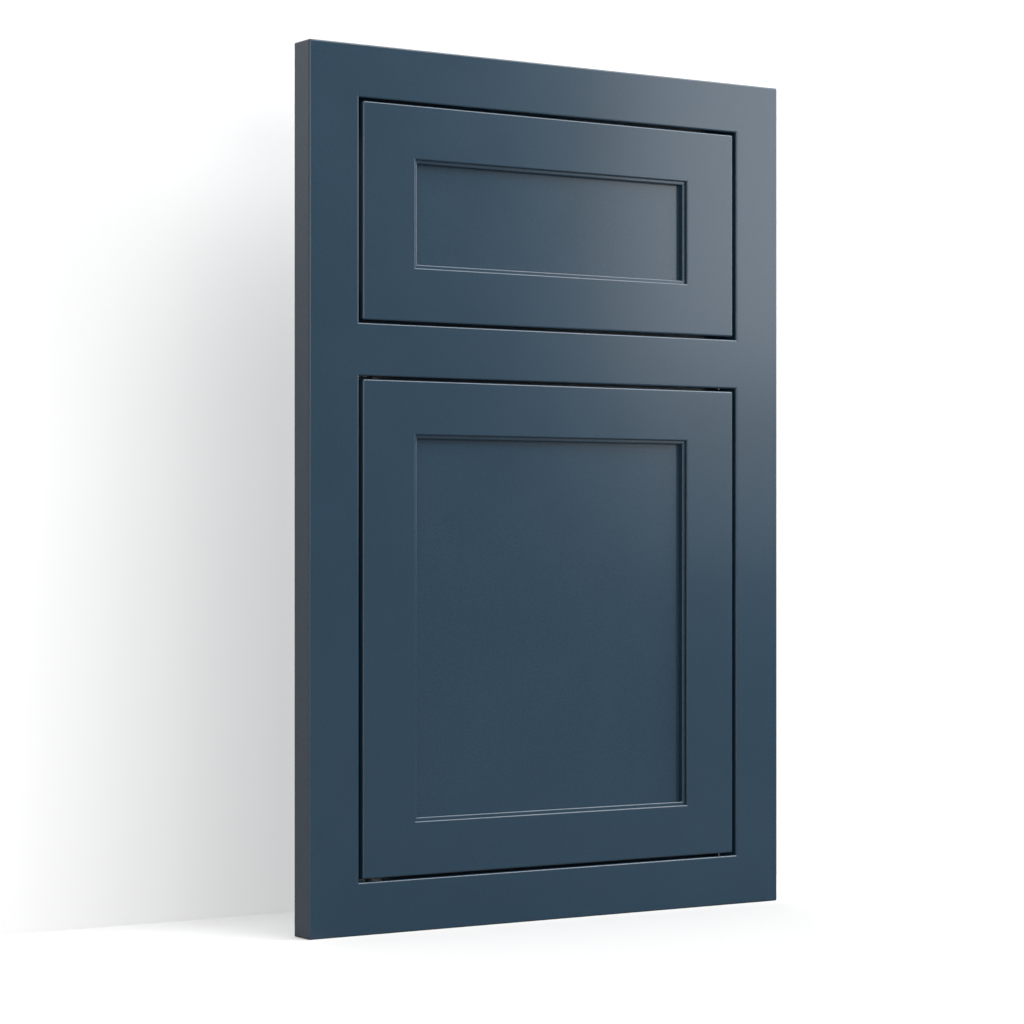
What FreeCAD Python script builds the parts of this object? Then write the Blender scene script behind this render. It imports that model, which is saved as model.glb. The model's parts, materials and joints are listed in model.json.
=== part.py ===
import FreeCAD
import Part
import math
import os

V = FreeCAD.Vector

# Face frame, all sizes in millimetres
frame_width = 376.5
frame_height = 570.0
frame_thick = 19.0
frame_stile_width = 36.5
frame_rail_width = 34.0
drawer_opening_height = 144.0
edge_ease = 1.2            # radius sanded on the arrises of the face, the back ones stay square

# Running gap round the door and the drawer front
reveal = 2.0               # above and below
side_reveal = 2.8

# Members of the door and of the drawer front
leaf_thick = 19.0
leaf_stile_width = 39.7    # flat face, up to the moulding
leaf_rail_width = 35.0     # flat face, up to the moulding
moulding_width = 2.3
moulding_step = 2.0        # square step at the face, down to a narrow shelf
moulding_ease = 1.0
moulding_round = 0.9       # rounding of the shelf's edge
panel_recess = 5.8         # panel face behind the member face
panel_thick = 6.0
groove_depth = 9.5
panel_clearance = 1.5      # room left at the bottom of the groove

# Dowels in the frame joints
dowel_dia = 6.0
dowel_length = 40.0
dowel_from_edge = 8.5      # dowel centre to the edge of its rail
dowel_end_room = 1.0

# Cleats behind the drawer front
cleat_thick = 12.0
strip_parting = 2.0        # between cleat and stop on the middle rail
cleat_drawer_lap = 20.0

# Stop strips behind the door
stop_thick = 12.0
stop_cover = 14.0          # how far a stop reaches over the door
stop_rebate = 1.0
stop_notch_length = 34.5   # clearance for the hinge edge of the door, from the stile

# Wood screws of cleats and stops
screw_dia = 3.5
screw_head_dia = 7.0
screw_length = 25.0
screw_from_end = 46.5      # end screws to the end of a strip

# Door pivots
pivot_from_edge = 12.0
pivot_from_face = 7.0
pin_dia = 6.0
pin_engagement = 4.5       # pin length inside a bush
pin_running_gap = 0.05     # radial
plate_length = 26.0
plate_width = 9.0
plate_thick = 2.5
plate_pin_end = 6.0        # from the rounded end to the pin
plate_screw_first = 9.0    # from the pin
plate_screw_second = 16.0
plate_screw_dia = 3.0
plate_screw_head_dia = 5.5
plate_screw_length = 16.0
bush_dia = 9.0
bush_flange_dia = 11.0
bush_flange_thick = 1.0
bush_depth = 5.0
washer_play = 0.1
sprung_pin_inside = 22.0   # part of the upper pin that sits in the door
pin_bore_dia = 6.4
spring_wire_dia = 0.8
spring_length = 10.0
spring_turns = 5.0

# Magnet, strike disc and bumpers
magnet_dia = 8.0
magnet_depth = 7.0
magnet_gap = 0.1           # to the strike disc
magnet_from_end = 71.5     # along the stop
strike_dia = 12.0
strike_thick = 1.2
strike_screw_dia = 2.5
strike_screw_head_dia = 4.8
strike_screw_length = 12.0
bumper_dia = 8.0
bumper_gap = 0.05
bumper_from_end = 31.5     # along the stop

# Planes and levels that follow from the sizes
front = -frame_thick / 2
back = frame_thick / 2
leaf_back = front + leaf_thick
half_opening = frame_width / 2 - frame_stile_width
bottom_rail_top = frame_rail_width
middle_rail_top = frame_height - frame_rail_width - drawer_opening_height
middle_rail_bottom = middle_rail_top - frame_rail_width
top_rail_bottom = frame_height - frame_rail_width
half_leaf = half_opening - side_reveal
door_bottom = bottom_rail_top + reveal
door_top = middle_rail_bottom - reveal
drawer_bottom = middle_rail_top + reveal
drawer_top = top_rail_bottom - reveal
pivot_x = -half_leaf + pivot_from_edge
pivot_y = front + pivot_from_face
half_strip = half_opening   # strips end at the stiles
frame_lap = (frame_rail_width - strip_parting) / 2   # how far a cleat or stop lies on a frame rail
screw_pitch = half_strip - screw_from_end
magnet_x = half_strip - magnet_from_end
bumper_x = half_strip - bumper_from_end
dowel_spacing = frame_rail_width - 2 * dowel_from_edge
stop_centre = stop_cover / 2   # from the edge of the door to magnet and bumpers


def box(x0, x1, y0, y1, z0, z1):
    return Part.makeBox(x1 - x0, y1 - y0, z1 - z0, V(x0, y0, z0))


def rod(dia, start, end):
    return Part.makeCylinder(dia / 2, (end - start).Length, start, end - start)


def eased_block(x0, x1, y0, y1, z0, z1):
    block = box(x0, x1, y0, y1, z0, z1)
    return block.makeFillet(edge_ease, [edge for edge in block.Edges if edge.BoundBox.YMin < y1 - 0.1])


# Outlines are lists of (offset from the opening's edge, depth behind the face, is this the middle of an arc)
def opening_outline():
    bow = edge_ease * (1 - math.sqrt(0.5))
    return [(-edge_ease, -1, False), (-edge_ease, 0, False), (-bow, bow, True), (0, edge_ease, False),
            (0, frame_thick + 1, False)]


def moulding_outline(ease):
    lean = math.sqrt(0.5)
    outline = [(-ease, -1, False), (-ease, 0, False)]
    if ease > 0:
        bow = ease * (1 - lean)
        outline += [(-bow, bow, True), (0, ease, False)]
    shelf = moulding_width - moulding_round
    outline += [(0, moulding_step, False), (shelf, moulding_step, False),
                (shelf + moulding_round * lean, moulding_step + moulding_round * (1 - lean), True),
                (moulding_width, moulding_step + moulding_round, False),
                (moulding_width, panel_recess, False)]
    return outline


def outline_edges(points):
    edges = []
    last = points[0][0]
    middle = None
    for point, is_middle in points[1:]:
        if is_middle:
            middle = point
            continue
        if middle is None:
            edges.append(Part.LineSegment(last, point).toShape())
        else:
            edges.append(Part.Arc(last, middle, point).toShape())
        last, middle = point, None
    return edges


def prism(outline, half, centre, along_x, reach):
    """Room between two mirrored outlines, run out along one axis."""
    def place(offset, depth, side):
        u = centre + side * (half - offset)
        y = front + depth
        return V(0, y, u) if along_x else V(u, y, 0)
    near = [(place(o, d, -1), m) for o, d, m in outline]
    far = [(place(o, d, 1), m) for o, d, m in reversed(outline)]
    edges = outline_edges(near)
    edges.append(Part.LineSegment(near[-1][0], far[0][0]).toShape())
    edges += outline_edges(far)
    edges.append(Part.LineSegment(far[-1][0], near[0][0]).toShape())
    face = Part.Face(Part.Wire(edges))
    run = V(1, 0, 0) if along_x else V(0, 0, 1)
    face.translate(run * -reach)
    return face.extrude(run * (2 * reach))


def mitred_room(outline, half_x, z0, z1):
    """Rectangular room whose edge profile meets in mitres at the corners."""
    reach = frame_height + frame_width
    upright = prism(outline, half_x, 0, False, reach)
    level = prism(outline, (z1 - z0) / 2, (z0 + z1) / 2, True, reach)
    return upright.common(level)


# Wood screws
def screw(dia, head_dia, length, place, direction):
    """Countersunk screw with its head flush at the place given, and the envelope that it fills."""
    sink = (head_dia - dia) / 2
    tip = dia
    core = Part.makeCone(head_dia / 2, dia / 2, sink, V(0, 0, 0), V(0, 0, 1))
    core = core.fuse(Part.makeCylinder(dia / 2, length - sink - tip, V(0, 0, sink)))
    core = core.fuse(Part.makeCone(dia / 2, dia / 10, tip, V(0, 0, length - tip)))
    core = core.removeSplitter()
    slot = head_dia * 0.28
    blade = dia * 0.22
    cross = Part.makeBox(2 * slot, blade, sink * 0.8, V(-slot, -blade / 2, 0))
    cross = cross.fuse(Part.makeBox(blade, 2 * slot, sink * 0.8, V(-blade / 2, -slot, 0)))
    pair = []
    for solid in (core.cut(cross), core):
        solid = solid.copy()
        solid.Placement = FreeCAD.Placement(place, FreeCAD.Rotation(V(0, 0, 1), direction))
        pair.append(solid)
    return pair


def screw_set(dia, head_dia, length, places, direction):
    pairs = [screw(dia, head_dia, length, place, direction) for place in places]
    return [p[0] for p in pairs], [p[1] for p in pairs]


def strip_screws():
    """Places of the screws in the cleats and the stops, heads on the back of each strip."""
    rows = [(top_rail_bottom + frame_lap / 2, back + cleat_thick),
            (drawer_top - cleat_drawer_lap / 2, back + cleat_thick),
            (drawer_bottom + cleat_drawer_lap / 2, back + cleat_thick),
            (middle_rail_top - frame_lap / 2, back + cleat_thick),
            (middle_rail_bottom + frame_lap / 2, back + stop_thick),
            (bottom_rail_top - frame_lap / 2, back + stop_thick)]
    places = [V(i * screw_pitch, y, z) for z, y in rows for i in (-1, 0, 1)]
    return screw_set(screw_dia, screw_head_dia, screw_length, places, V(0, -1, 0))


# Face frame
def dowels(extra=0.0):
    rods = []
    half = dowel_length / 2 + extra
    for side in (-1, 1):
        for low in (0, middle_rail_bottom, top_rail_bottom):
            for row in (-1, 1):
                z = low + frame_rail_width / 2 + row * dowel_spacing / 2
                x = side * half_opening
                rods.append(rod(dowel_dia, V(x - half, 0, z), V(x + half, 0, z)))
    return rods


def bush_seat(level, into):
    body = rod(bush_dia, V(pivot_x, pivot_y, level), V(pivot_x, pivot_y, level + into * bush_depth))
    flange = rod(bush_flange_dia, V(pivot_x, pivot_y, level),
                 V(pivot_x, pivot_y, level + into * bush_flange_thick))
    return body.fuse(flange).removeSplitter()


def bush(level, into):
    bore = rod(pin_dia + 2 * pin_running_gap, V(pivot_x, pivot_y, level - into),
               V(pivot_x, pivot_y, level + into * (bush_depth + 1)))
    return bush_seat(level, into).cut(bore)


def frame_members(screw_room):
    half = frame_width / 2
    blank = eased_block(-half, half, front, back, 0, frame_height)
    for z0, z1 in ((bottom_rail_top, middle_rail_bottom), (middle_rail_top, top_rail_bottom)):
        blank = blank.cut(mitred_room(opening_outline(), half_opening, z0, z1))
    cuts = dowels(dowel_end_room) + screw_room
    cuts += [bush_seat(bottom_rail_top, -1), bush_seat(middle_rail_bottom, 1)]
    blank = blank.cut(cuts)
    out = half + 1
    inner = half_opening
    zones = {
        "frame_stile_left": (-out, -inner, -1, frame_height + 1),
        "frame_stile_right": (inner, out, -1, frame_height + 1),
        "frame_rail_bottom": (-inner, inner, -1, bottom_rail_top),
        "frame_rail_middle": (-inner, inner, middle_rail_bottom, middle_rail_top),
        "frame_rail_top": (-inner, inner, top_rail_bottom, frame_height + 1),
    }
    return {name: blank.common(box(x0, x1, front - 1, back + 1, z0, z1))
            for name, (x0, x1, z0, z1) in zones.items()}


# Door and drawer front
def leaf_members(name, z0, z1, room):
    flat_x = half_leaf - leaf_stile_width
    low, high = z0 + leaf_rail_width, z1 - leaf_rail_width
    groove_front = front + panel_recess
    groove_back = groove_front + panel_thick
    inner_x = flat_x - moulding_width
    inner_low, inner_high = low + moulding_width, high - moulding_width
    block = eased_block(-half_leaf, half_leaf, front, leaf_back, z0, z1)
    block = block.cut([
        mitred_room(moulding_outline(moulding_ease), flat_x, low, high),
        box(-inner_x, inner_x, groove_front - 1, leaf_back + 1, inner_low, inner_high),
        box(-inner_x - groove_depth, inner_x + groove_depth, groove_front, groove_back,
            inner_low - groove_depth, inner_high + groove_depth)] + room)
    # The stiles run through, and the ends of the rails are coped over their moulding
    sticking = prism(moulding_outline(0), flat_x, 0, False, 2 * frame_height)
    stile_zone = box(-half_leaf - 1, half_leaf + 1, front - 1, leaf_back + 1, z0 - 1, z1 + 1)
    stile_zone = stile_zone.cut([
        sticking,
        box(-inner_x, inner_x, front - 2, leaf_back + 2, z0 - 2, z1 + 2),
        box(-inner_x - groove_depth, inner_x + groove_depth, groove_front, groove_back, z0 - 2, z1 + 2)])
    stiles = block.common(stile_zone)
    rails = block.cut(stile_zone)
    span = half_leaf + 2
    middle = (z0 + z1) / 2
    edge_room = groove_depth - panel_clearance
    panel = box(-inner_x - edge_room, inner_x + edge_room, groove_front, groove_back,
                inner_low - edge_room, inner_high + edge_room)
    return {
        name + "_stile_left": stiles.common(box(-span, 0, front - 1, leaf_back + 1, z0 - 1, z1 + 1)),
        name + "_stile_right": stiles.common(box(0, span, front - 1, leaf_back + 1, z0 - 1, z1 + 1)),
        name + "_rail_top": rails.common(box(-span, span, front - 1, leaf_back + 1, middle, z1 + 1)),
        name + "_rail_bottom": rails.common(box(-span, span, front - 1, leaf_back + 1, z0 - 1, middle)),
        name + "_panel": panel,
    }


# Strips on the back
def cleat(z0, z1, screw_room):
    return box(-half_strip, half_strip, back, back + cleat_thick, z0, z1).cut(screw_room)


def stop(rail_edge, door_edge, up, room):
    """Stop strip on a frame rail: up is 1 where the rail is above the door."""
    on_rail = rail_edge + up * frame_lap
    over_door = door_edge - up * stop_cover
    middle_of_gap = (rail_edge + door_edge) / 2
    strip = box(-half_strip, half_strip, back, back + stop_thick,
                min(on_rail, over_door), max(on_rail, over_door))
    beyond = over_door - up
    low, high = min(beyond, middle_of_gap), max(beyond, middle_of_gap)
    rebate = box(-half_opening, half_opening, back - 1, back + stop_rebate, low, high)
    notch = box(-half_strip - 1, -half_opening + stop_notch_length, back - 1,
                back + stop_thick + 1, low, high)
    return strip.cut([rebate, notch] + room)


def magnet_room(z):
    return rod(magnet_dia, V(magnet_x, back + stop_rebate, z), V(magnet_x, back + magnet_depth, z))


def magnet(z):
    return rod(magnet_dia, V(magnet_x, leaf_back + magnet_gap, z), V(magnet_x, back + magnet_depth, z))


def strike_room(z):
    return rod(strike_dia, V(magnet_x, leaf_back - strike_thick, z), V(magnet_x, leaf_back + 1, z))


def strike(z, screw_room):
    disc = rod(strike_dia, V(magnet_x, leaf_back - strike_thick, z), V(magnet_x, leaf_back, z))
    return disc.cut(screw_room)


def bumpers():
    return [rod(bumper_dia, V(bumper_x, leaf_back + bumper_gap, z), V(bumper_x, back + stop_rebate, z))
            for z in (door_top - stop_centre, door_bottom + stop_centre)]


# Door pivots
def plate_blank(edge, into):
    """Plate with round ends, let in flush at an edge of the door; into is -1 at the top edge."""
    z = min(edge, edge + into * plate_thick)
    r = plate_width / 2
    left = pivot_x - plate_pin_end + r
    right = left + plate_length - 2 * r
    slab = box(left, right, pivot_y - r, pivot_y + r, z, z + plate_thick)
    ends = [Part.makeCylinder(r, plate_thick, V(x, pivot_y, z)) for x in (left, right)]
    return slab.fuse(ends).removeSplitter()


def plate_screws(edge, into):
    places = [V(pivot_x + along, pivot_y, edge) for along in (plate_screw_first, plate_screw_second)]
    return screw_set(plate_screw_dia, plate_screw_head_dia, plate_screw_length, places, V(0, 0, into))


def sprung_pin():
    return rod(pin_dia, V(pivot_x, pivot_y, door_top - sprung_pin_inside),
               V(pivot_x, pivot_y, middle_rail_bottom + pin_engagement))


def sprung_pin_bore():
    low = door_top - sprung_pin_inside - spring_length
    return rod(pin_bore_dia, V(pivot_x, pivot_y, low), V(pivot_x, pivot_y, door_top + 1))


def spring():
    radius = (pin_bore_dia - spring_wire_dia) / 2 - 0.2
    rise = spring_length - spring_wire_dia
    low = door_top - sprung_pin_inside - spring_length + spring_wire_dia / 2
    helix = Part.makeHelix(rise / spring_turns, rise, radius)
    circle = Part.makeCircle(spring_wire_dia / 2, V(radius, 0, 0), V(0, 1, 0))
    coil = Part.Wire(helix.Edges).makePipeShell([Part.Wire([circle])], True, False)
    coil.translate(V(pivot_x, pivot_y, low))
    return coil


def top_plate(screw_room):
    hole = rod(pin_dia, V(pivot_x, pivot_y, door_top - plate_thick - 1), V(pivot_x, pivot_y, door_top + 1))
    return plate_blank(door_top, -1).cut([hole] + screw_room)


def bottom_plate(screw_room):
    pin = rod(pin_dia, V(pivot_x, pivot_y, door_bottom + plate_thick),
              V(pivot_x, pivot_y, bottom_rail_top - pin_engagement))
    return plate_blank(door_bottom, 1).cut(screw_room).fuse(pin).removeSplitter()


def washer():
    low = V(pivot_x, pivot_y, bottom_rail_top)
    ring = rod(bush_flange_dia, low, V(pivot_x, pivot_y, door_bottom - washer_play))
    return ring.cut(rod(pin_dia + 2 * pin_running_gap, low - V(0, 0, 1), V(pivot_x, pivot_y, door_bottom)))


def group(solids):
    return Part.makeCompound(solids)


def build():
    strip_set, strip_room = strip_screws()
    top_set, top_room = plate_screws(door_top, -1)
    bottom_set, bottom_room = plate_screws(door_bottom, 1)
    catch_level = door_top - stop_centre
    strike_set, strike_screw_room = screw_set(
        strike_screw_dia, strike_screw_head_dia, strike_screw_length,
        [V(magnet_x, leaf_back, catch_level)], V(0, -1, 0))

    nodes = frame_members(strip_room)
    nodes.update(leaf_members("drawer", drawer_bottom, drawer_top, strip_room))
    door_room = top_room + bottom_room + strike_screw_room + [
        plate_blank(door_top, -1), plate_blank(door_bottom, 1), sprung_pin_bore(), strike_room(catch_level)]
    nodes.update(leaf_members("door", door_bottom, door_top, door_room))
    nodes["frame_dowels"] = group(dowels())
    nodes["cleat_upper"] = cleat(drawer_top - cleat_drawer_lap, top_rail_bottom + frame_lap, strip_room)
    nodes["cleat_lower"] = cleat(middle_rail_top - frame_lap, drawer_bottom + cleat_drawer_lap, strip_room)
    nodes["stop_upper"] = stop(middle_rail_bottom, door_top, 1, strip_room + [magnet_room(catch_level)])
    nodes["stop_lower"] = stop(bottom_rail_top, door_bottom, -1, strip_room)
    nodes["strip_screws"] = group(strip_set)
    nodes["magnet"] = magnet(catch_level)
    nodes["bumpers"] = group(bumpers())
    nodes["pivot_bush_top"] = bush(middle_rail_bottom, 1)
    nodes["pivot_bush_bottom"] = bush(bottom_rail_top, -1)
    nodes["pivot_washer"] = washer()
    nodes["pivot_plate_top"] = top_plate(top_room)
    nodes["pivot_plate_bottom"] = bottom_plate(bottom_room)
    nodes["pivot_pin_top"] = sprung_pin()
    nodes["pivot_spring"] = spring()
    nodes["pivot_screws"] = group(top_set + bottom_set)
    nodes["strike_disc"] = strike(catch_level, strike_screw_room)
    nodes["strike_screw"] = strike_set[0]
    return nodes


os.makedirs("parts", exist_ok=True)
for name, shape in build().items():
    shape.exportStep("parts/" + name + ".step")
    print(name, len(shape.Solids), "solid(s)", round(shape.Volume), "mm3", "valid" if shape.isValid() else "NOT VALID")
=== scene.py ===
import bpy
import json
import math
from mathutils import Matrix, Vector


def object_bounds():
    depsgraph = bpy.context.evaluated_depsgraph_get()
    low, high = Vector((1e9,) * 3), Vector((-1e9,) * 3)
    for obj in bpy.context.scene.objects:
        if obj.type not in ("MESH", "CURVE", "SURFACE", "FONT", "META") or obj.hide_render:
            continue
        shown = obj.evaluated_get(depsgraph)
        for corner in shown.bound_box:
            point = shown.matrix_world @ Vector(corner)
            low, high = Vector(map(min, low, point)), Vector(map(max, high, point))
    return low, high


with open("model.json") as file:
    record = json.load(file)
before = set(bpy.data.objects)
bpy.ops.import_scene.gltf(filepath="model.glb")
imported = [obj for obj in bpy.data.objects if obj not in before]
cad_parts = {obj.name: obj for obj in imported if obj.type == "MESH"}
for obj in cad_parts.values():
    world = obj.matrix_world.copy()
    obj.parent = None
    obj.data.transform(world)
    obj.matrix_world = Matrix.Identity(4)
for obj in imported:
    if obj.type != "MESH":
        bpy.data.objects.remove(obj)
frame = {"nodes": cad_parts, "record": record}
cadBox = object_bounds()
nodes = frame["nodes"]
print("frame loaded:", len(nodes), "nodes")


# Shader maths: a socket that can be used in Python expressions
class Signal:
    def __init__(self, maker, socket):
        self.maker, self.socket = maker, socket

    def maths(self, operation, other, swap=False):
        pair = [other, self] if swap else [self, other]
        return self.maker.node("ShaderNodeMath", {"operation": operation}, {0: pair[0], 1: pair[1]})

    def __add__(self, other):
        return self.maths("ADD", other)

    __radd__ = __add__

    def __mul__(self, other):
        return self.maths("MULTIPLY", other)

    __rmul__ = __mul__

    def __sub__(self, other):
        return self.maths("SUBTRACT", other)

    def __rsub__(self, other):
        return self.maths("SUBTRACT", other, swap=True)


class Finish:
    def __init__(self, name):
        self.material = bpy.data.materials.new(name)
        self.material.use_nodes = True
        self.tree = self.material.node_tree
        self.tree.nodes.clear()
        self.output = self.tree.nodes.new("ShaderNodeOutputMaterial")

    def node(self, kind, settings=None, inputs=None, out=0):
        made = self.tree.nodes.new(kind)
        for key, value in (settings or {}).items():
            setattr(made, key, value)
        for key, value in (inputs or {}).items():
            if isinstance(value, Signal):
                self.tree.links.new(value.socket, made.inputs[key])
            else:
                made.inputs[key].default_value = value
        return Signal(self, made.outputs[out])

    def place(self, scale=(1, 1, 1)):
        spot = self.node("ShaderNodeTexCoord", out="Object")
        return self.node("ShaderNodeMapping", {}, {"Vector": spot, "Scale": scale})

    def noise(self, at, scale, detail, rough):
        values = {"Vector": at, "Scale": scale, "Detail": detail, "Roughness": rough}
        return self.node("ShaderNodeTexNoise", {}, values)

    def mix(self, factor, first, second):
        made = self.tree.nodes.new("ShaderNodeMix")
        made.data_type = "RGBA"
        for socket, value in ((made.inputs[0], factor), (made.inputs[6], first), (made.inputs[7], second)):
            if isinstance(value, Signal):
                self.tree.links.new(value.socket, socket)
            else:
                socket.default_value = value
        return Signal(self, made.outputs[2])

    def bump(self, height, depth):
        return self.node("ShaderNodeBump", {}, {"Height": height, "Distance": depth})

    def fade(self, value, edge):
        return self.node("ShaderNodeMapRange", {}, {"Value": value, "From Min": edge[0], "From Max": edge[1]})

    def finish(self, shader):
        self.tree.links.new(shader.socket, self.output.inputs["Surface"])
        return self.material

    def shade(self, **inputs):
        named = {key.replace("_", " "): value for key, value in inputs.items()}
        return self.finish(self.node("ShaderNodeBsdfPrincipled", {}, named))

    # Parts for the backdrop: changes along an axis or far off, kinds of ray, plain and glowing surfaces
    def change(self, axis, edge):
        spot = self.node("ShaderNodeTexCoord", out="Object")
        along = self.node("ShaderNodeSeparateXYZ", {}, {"Vector": spot}, out=axis)
        return self.fade(along, edge)

    def far(self, edge):
        spot = self.node("ShaderNodeTexCoord", out="Object")
        reach = self.node("ShaderNodeVectorMath", {"operation": "LENGTH"}, {0: spot}, out="Value")
        return self.fade(reach, edge)

    def ray(self, kind):
        return self.node("ShaderNodeLightPath", out=kind)

    def diffuse(self, colour):
        return self.node("ShaderNodeBsdfDiffuse", {}, {"Color": colour})

    def lit(self, colour, strength):
        glow = self.node("ShaderNodeEmission", {}, {"Strength": strength})
        return self.node("ShaderNodeAddShader", {}, {0: self.diffuse(colour), 1: glow})

    def mixShader(self, factor, first, second):
        return self.node("ShaderNodeMixShader", {}, {0: factor, 1: first, 2: second})


def srgb(r, g, b):
    def line(v):
        v /= 255
        return v / 12.92 if v <= 0.04045 else ((v + 0.055) / 1.055) ** 2.4
    return (line(r), line(g), line(b), 1)


millimetre = 0.001


# Sprayed satin paint on all the frame, door and drawer front pieces
paint = {
    "colour": srgb(39, 64, 83),
    "shade": srgb(33, 57, 73),
    "cloudScale": 14,          # slow drift of tone and sheen
    "cloudTone": 0.9,
    "cloudRoughness": 0.05,
    "speckScale": 1150,        # fine mottle, about 1 mm
    "speckTone": 2.6,
    "peelScale": 620,          # orange peel, about 1.6 mm from crest to crest
    "peelDepth": 0.0035,       # depths in millimetres
    "dustScale": 5200,
    "dustDepth": 0.001,
    "dustRoughness": 0.02,
    "roughness": 0.215,
}


def paintFinish():
    f = Finish("satinPaint")
    at = f.place()
    cloud = f.noise(at, paint["cloudScale"], detail=4, rough=0.6)
    peel = f.noise(at, paint["peelScale"], detail=1, rough=0.4)
    dust = f.noise(at, paint["dustScale"], detail=2, rough=0.6)
    speck = f.noise(at, paint["speckScale"], detail=1, rough=0.5)
    relief = peel * paint["peelDepth"] + dust * paint["dustDepth"]
    tone = (cloud - 0.5) * paint["cloudTone"] + (speck - 0.5) * paint["speckTone"] + 0.5
    sheen = (cloud - 0.5) * paint["cloudRoughness"] + (dust - 0.5) * paint["dustRoughness"]
    return f.shade(
        Base_Color=f.mix(tone, paint["shade"], paint["colour"]),
        Roughness=sheen + paint["roughness"],
        Normal=f.bump(relief, millimetre))


# Planed poplar of the dowels, grain along X
bareWood = {
    "light": srgb(206, 178, 134),
    "dark": srgb(170, 136, 92),
    "streak": srgb(150, 140, 96),
    "streakShare": 0.35,
    "grainStretch": (4, 60, 60),
    "grainScale": 2.2,
    "grainStops": (0.35, 0.65),
    "poreStretch": (30, 900, 900),
    "poreDepth": 0.12,         # in millimetres
    "poreRoughness": 0.2,
    "roughness": 0.6,
}


def bareWoodFinish():
    f = Finish("planedPoplar")
    rings = f.noise(f.place(bareWood["grainStretch"]), bareWood["grainScale"], detail=5, rough=0.55)
    pores = f.noise(f.place(bareWood["poreStretch"]), 1.0, detail=3, rough=0.6)
    band = f.fade(rings, bareWood["grainStops"])
    tone = f.mix(band, bareWood["dark"], bareWood["light"])
    tone = f.mix(pores * bareWood["streakShare"], tone, bareWood["streak"])
    return f.shade(
        Base_Color=tone,
        Roughness=(pores - 0.5) * bareWood["poreRoughness"] + bareWood["roughness"],
        Normal=f.bump(pores * bareWood["poreDepth"], millimetre))


# Metals, rubber and acetal of the small fittings, with depths in millimetres
fittings = {
    "zincSteel": {"colour": srgb(196, 198, 200), "dull": srgb(160, 163, 168), "metal": 1.0, "rough": 0.32,
                  "scale": 900, "depth": 0.01},
    "turnedBrass": {"colour": srgb(140, 112, 66), "dull": srgb(104, 82, 50), "metal": 1.0, "rough": 0.34,
                    "scale": 1400, "depth": 0.005},
    "blackSteel": {"colour": srgb(34, 34, 36), "dull": srgb(52, 52, 54), "metal": 0.7, "rough": 0.52,
                   "scale": 1100, "depth": 0.01},
    "blackAcetal": {"colour": srgb(24, 24, 25), "dull": srgb(34, 34, 35), "metal": 0.0, "rough": 0.52,
                    "scale": 700, "depth": 0.01},
    "blackRubber": {"colour": srgb(28, 28, 29), "dull": srgb(40, 40, 41), "metal": 0.0, "rough": 0.77,
                    "scale": 1600, "depth": 0.02},
}
fittingSwing = 0.2             # of the roughness


def fittingFinish(name):
    values = fittings[name]
    f = Finish(name)
    spots = f.noise(f.place(), values["scale"], detail=4, rough=0.6)
    return f.shade(
        Base_Color=f.mix(spots, values["colour"], values["dull"]),
        Metallic=values["metal"],
        Roughness=(spots - 0.5) * fittingSwing + values["rough"],
        Normal=f.bump(spots * values["depth"], millimetre))


# Which finish each material slot of the record takes
finishes = {
    "paint": paintFinish(),
    "bare_wood": bareWoodFinish(),
    "zinc_steel": fittingFinish("zincSteel"),
    "brass": fittingFinish("turnedBrass"),
    "black_steel": fittingFinish("blackSteel"),
    "black_acetal": fittingFinish("blackAcetal"),
    "rubber": fittingFinish("blackRubber"),
}


def dressNodes():
    for entry in frame["record"]["subparts"]:
        piece = nodes[entry["node"]]
        piece.data.materials.clear()
        piece.data.materials.append(finishes[entry["material_slot"]])


# White floor and a white wall close behind the frame, each with some light of its own for the camera; that
# light is uneven, with painted light, painted shade and painted shadow in it
backdrop = {
    "wallGap": 0.1295,                      # behind the frame's front face
    "reach": 8.0,
    "wallColour": (0.6, 0.6, 0.6, 1),
    "wallGlowPaintedLightShade": (0.475, 0.55, 0.43),         # plain, painted light at the left, painted shade at the top
    "leftPaintedLight": (-0.25, -0.33),             # X of the change to the painted light at the left
    "topPaintedShade": (0.3, 0.5),                  # Z of the change to the painted shade at the top
    "wallMirrored": 0.355,                  # share that the frame's left side mirrors
    "floorColour": (0.55, 0.55, 0.55, 1),
    "floorGlowPaintedShade": (0.31, 0.2, 0.59, 0.48, 0.95),    # front left, front right, behind, by the wall, far off; dimmer at the front right and by the wall as painted shade
    "paintedShadowGlow": 0.2,                       # painted shadow, in the frame's shade behind it
    "paintedShadowTurn": (-0.26, -0.14),            # X of the change to the painted shadow
    "paintedShadowShare": 0.42,
    "rightTurn": (-0.2, 0.2),               # X of the change to the painted shade at the right
    "backTurn": (-0.03, 0.02),              # Y of the change behind
    "footTurn": (0.06, 0.13),               # Y of the change to the painted shade by the wall
    "farTurn": (0.5, 1.4),                  # distance of the change far off
    "floorBounce": (0.12, 0.12, 0.12, 1),   # floor as the object sees it
    "floorSheen": 0.2,                      # its own light in what the front faces mirror
    "floorMirrored": (0.8, 0.8, 0.8, 1),    # floor as the frame's left side mirrors it
    "leftEdge": (-0.16, -0.2),              # X where the mirrored parts begin
}


def sheet(name, turn, place, material):
    bpy.ops.object.select_all(action="DESELECT")
    bpy.ops.mesh.primitive_plane_add(size=2 * backdrop["reach"], location=place, rotation=turn)
    bpy.ops.object.transform_apply(location=True, rotation=True, scale=True)
    plane = bpy.context.object
    plane.name = name
    plane.data.materials.append(material)
    return plane


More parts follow.
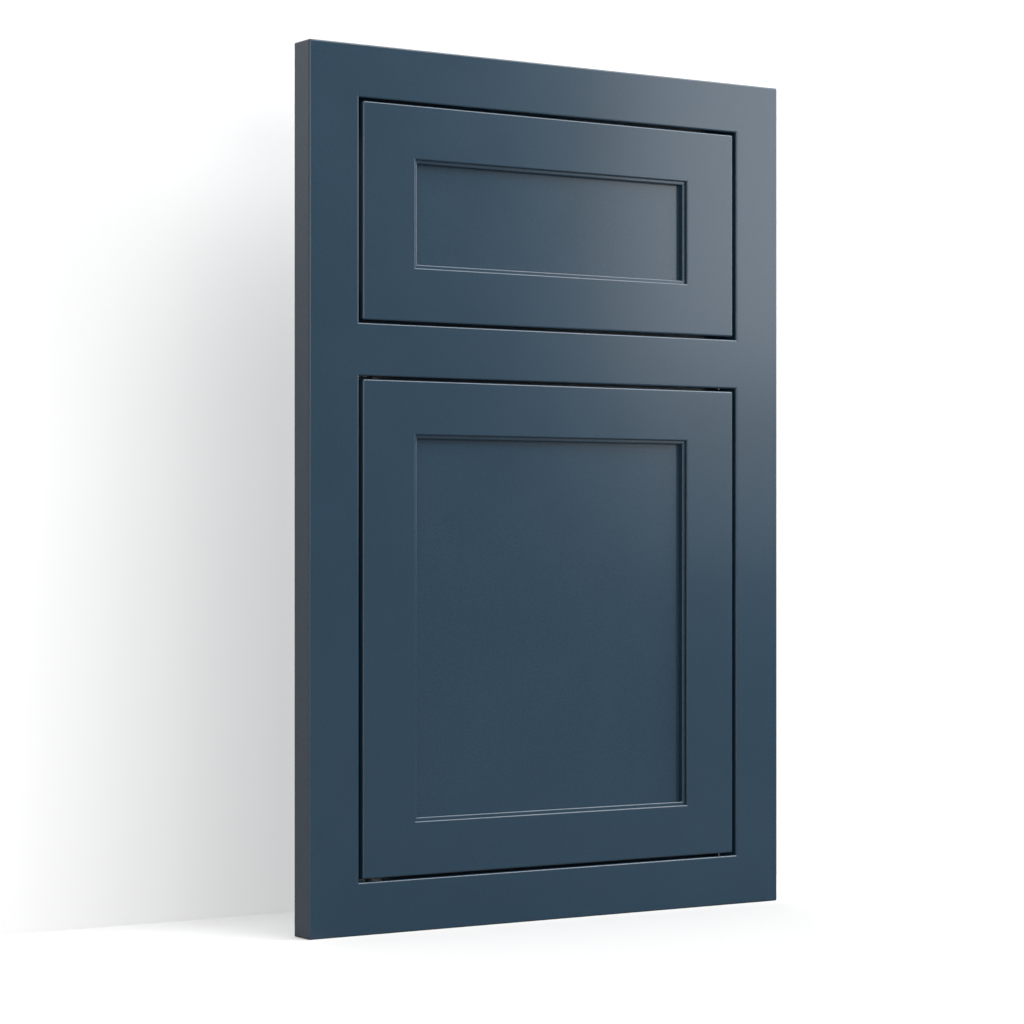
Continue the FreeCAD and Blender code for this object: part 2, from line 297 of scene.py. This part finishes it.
def wallMaterial():
    f = Finish("whiteWall")
    diffuse = f.diffuse(backdrop["wallColour"])
    # Glows for the camera: plain, brighter at the left as painted light, dimmer at the top as painted shade
    plain, left, top = [f.lit(backdrop["wallColour"], strength) for strength in backdrop["wallGlowPaintedLightShade"]]
    bright = f.mixShader(f.change("X", backdrop["leftPaintedLight"]), plain, left)
    bright = f.mixShader(f.change("Z", backdrop["topPaintedShade"]), bright, top)
    mirrored = f.ray("Is Glossy Ray") * f.change("X", backdrop["leftEdge"])
    seen = f.ray("Is Camera Ray") + mirrored * backdrop["wallMirrored"]
    front = f.mixShader(seen, diffuse, bright)
    behind = f.node("ShaderNodeNewGeometry", out="Backfacing")     # from behind, the wall is clear
    return f.finish(f.mixShader(behind, front, f.node("ShaderNodeBsdfTransparent")))


def floorMaterial():
    f = Finish("whiteFloor")
    colour = backdrop["floorColour"]
    # Glows for the camera, dimmer where painted shade and painted shadow fall
    left, right, behind, wallFoot, far = [f.lit(colour, strength) for strength in backdrop["floorGlowPaintedShade"]]
    front = f.mixShader(f.change("X", backdrop["rightTurn"]), left, right)
    shade = f.lit(colour, backdrop["paintedShadowGlow"])
    rear = f.mixShader(f.change("Y", backdrop["footTurn"]), behind, wallFoot)
    # Painted shadow on the floor behind the frame, fading out to the left
    rear = f.mixShader(f.change("X", backdrop["paintedShadowTurn"]) * backdrop["paintedShadowShare"], rear, shade)
    bright = f.mixShader(f.change("Y", backdrop["backTurn"]), front, rear)
    bright = f.mixShader(f.far(backdrop["farTurn"]), bright, far)
    dull = f.diffuse(backdrop["floorBounce"])
    sheen = f.lit(backdrop["floorBounce"], backdrop["floorSheen"])
    mirrored = f.mixShader(f.change("X", backdrop["leftEdge"]), sheen, f.diffuse(backdrop["floorMirrored"]))
    unseen = f.mixShader(f.ray("Is Glossy Ray"), dull, mirrored)
    return f.finish(f.mixShader(f.ray("Is Camera Ray"), unseen, bright))


def makeBackdrop():
    wallPlace = cadBox[0].y + backdrop["wallGap"]
    wall = sheet("wall", (math.radians(90), 0, 0), (0, wallPlace, 0), wallMaterial())
    wall.visible_shadow = False             # so the lamp behind it lights the object's back
    sheet("floor", (0, 0, 0), (0, 0, 0), floorMaterial())
    print("backdrop made")


# Lamps: place, the point they face, width, height and watts
lamps = {
    "key": {"place": (1.16, -0.6, 0.928), "aim": (0.02, 0.035, 0.928), "size": (1.225, 0.984), "watts": 14},
    "keyLow": {"place": (1.16, -0.6, 0.338), "aim": (0.02, 0.035, 0.338),
               "size": (1.225, 0.196), "watts": 0.95},
    "frontTop": {"place": (2.045, -2.045, 3.732), "aim": (0, 0, 0.285), "size": (4.8, 2.4), "watts": 243},
    "frontLow": {"place": (-0.540, -3.843, 1.253), "aim": (0, 0, 0.285), "size": (2.6, 1.6), "watts": 40},
    "leftFront": {"place": (-1.987, -1.667, 0.466), "aim": (0, 0, 0.285), "size": (1.4, 1.6), "watts": 16},
    "back": {"place": (0.5, 3.0, 1.4), "aim": (0, 0, 0.285), "size": (2.4, 1.6), "watts": 60},
}
sky = {"plain": 0.055, "mirrored": 0.26, "seen": 1.0}


def makeLights():
    for name, values in lamps.items():
        data = bpy.data.lights.new(name, "AREA")
        data.shape = "RECTANGLE"
        data.size, data.size_y = values["size"]
        data.energy = values["watts"]
        lamp = bpy.data.objects.new(name, data)
        lamp.location = values["place"]
        facing = Vector(values["aim"]) - Vector(values["place"])
        lamp.rotation_euler = facing.to_track_quat("-Z", "Y").to_euler()
        bpy.context.scene.collection.objects.link(lamp)
    print("lamps made:", len(lamps))


# White sky: plain light for the shades, what glossy paint mirrors, and what the camera sees
def makeSky():
    world = bpy.data.worlds.new("sky")
    world.use_nodes = True
    tree = world.node_tree
    tree.nodes.clear()
    path = tree.nodes.new("ShaderNodeLightPath")

    def glow(strength):
        light = tree.nodes.new("ShaderNodeBackground")
        light.inputs["Color"].default_value = (1, 1, 1, 1)
        light.inputs["Strength"].default_value = strength
        return light.outputs[0]

    def choose(ray, otherwise, chosen):
        mix = tree.nodes.new("ShaderNodeMixShader")
        for value, socket in zip((path.outputs[ray], otherwise, chosen), mix.inputs):
            tree.links.new(value, socket)
        return mix.outputs[0]

    light = choose("Is Glossy Ray", glow(sky["plain"]), glow(sky["mirrored"]))
    light = choose("Is Camera Ray", light, glow(sky["seen"]))
    tree.links.new(light, tree.nodes.new("ShaderNodeOutputWorld").inputs["Surface"])
    bpy.context.scene.world = world
    print("sky made")


# Level camera, turned to the object's left
view = {
    "place": (-1.1159, -1.6466, 0.2526),
    "turn": -33.44,            # degrees about the upright
    "focalPixels": 2971,
    "imagePixels": 1024,
    "horizonPixel": 540.57,    # from the top of the picture
}


def makeCamera():
    data = bpy.data.cameras.new("camera")
    data.sensor_width = 36
    data.lens = view["focalPixels"] / view["imagePixels"] * data.sensor_width
    data.shift_y = (view["horizonPixel"] - view["imagePixels"] / 2) / view["imagePixels"]
    data.clip_start, data.clip_end = 0.05, 50
    camera = bpy.data.objects.new("camera", data)
    camera.location = view["place"]
    camera.rotation_euler = (math.radians(90), 0, math.radians(view["turn"]))
    bpy.context.scene.collection.objects.link(camera)
    bpy.context.scene.camera = camera
    print("camera made")


dressNodes()
makeBackdrop()
makeLights()
makeSky()
makeCamera()
bpy.context.scene.view_settings.view_transform = "Standard"
